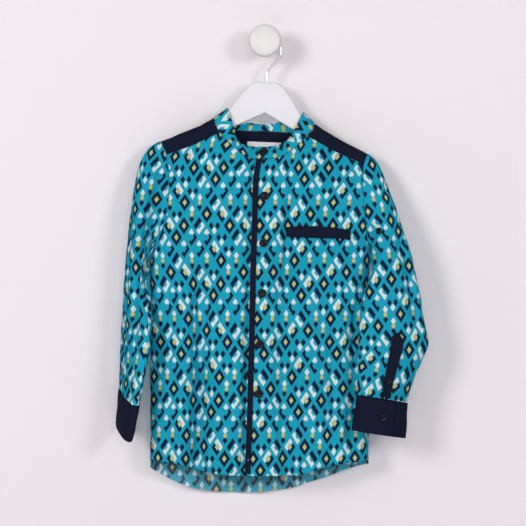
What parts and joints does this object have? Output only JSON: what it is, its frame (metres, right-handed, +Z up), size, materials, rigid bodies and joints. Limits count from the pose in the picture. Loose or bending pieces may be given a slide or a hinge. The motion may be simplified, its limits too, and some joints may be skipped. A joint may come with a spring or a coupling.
{
  "type": "mandarin collar shirt",
  "caption": "Child's long-sleeved mandarin collar shirt, buttoned, hanging on a flat wooden hanger from a round wall knob.",
  "frame": {"origin": "centre of the wall knob's flat back face, on the wall", "axes": "+X to the viewer's right, +Y into the wall, +Z up"},
  "size_m": [0.3914, 0.074, 0.5899],
  "materials": {
    "printed_cloth": "matte woven cotton, turquoise with a lozenge print",
    "navy_cloth": "matte woven cotton",
    "label": "smooth woven ribbon, blank",
    "button": "glossy",
    "painted_wood": "white paint, satin",
    "hook_steel": "polished"
  },
  "bodies": {
    "root": {"front_right": "printed_cloth", "front_left": "printed_cloth", "back": "printed_cloth", "collar": "printed_cloth", "sleeve_right": "printed_cloth", "sleeve_left": "printed_cloth", "yoke": "navy_cloth", "front_strip": "navy_cloth", "pocket_welt": "navy_cloth", "placket_right": "navy_cloth", "placket_left": "navy_cloth", "cuff_right": "navy_cloth", "cuff_left": "navy_cloth", "neck_label": "label", "button_1": "button", "button_2": "button", "button_3": "button", "button_4": "button", "button_5": "button", "button_6": "button", "cuff_button_right": "button", "cuff_button_left": "button", "placket_button_left": "button", "tab_button_left": "button", "hanger": "painted_wood", "hook": "hook_steel", "wall_knob": "painted_wood"}
  },
  "joints": []
}
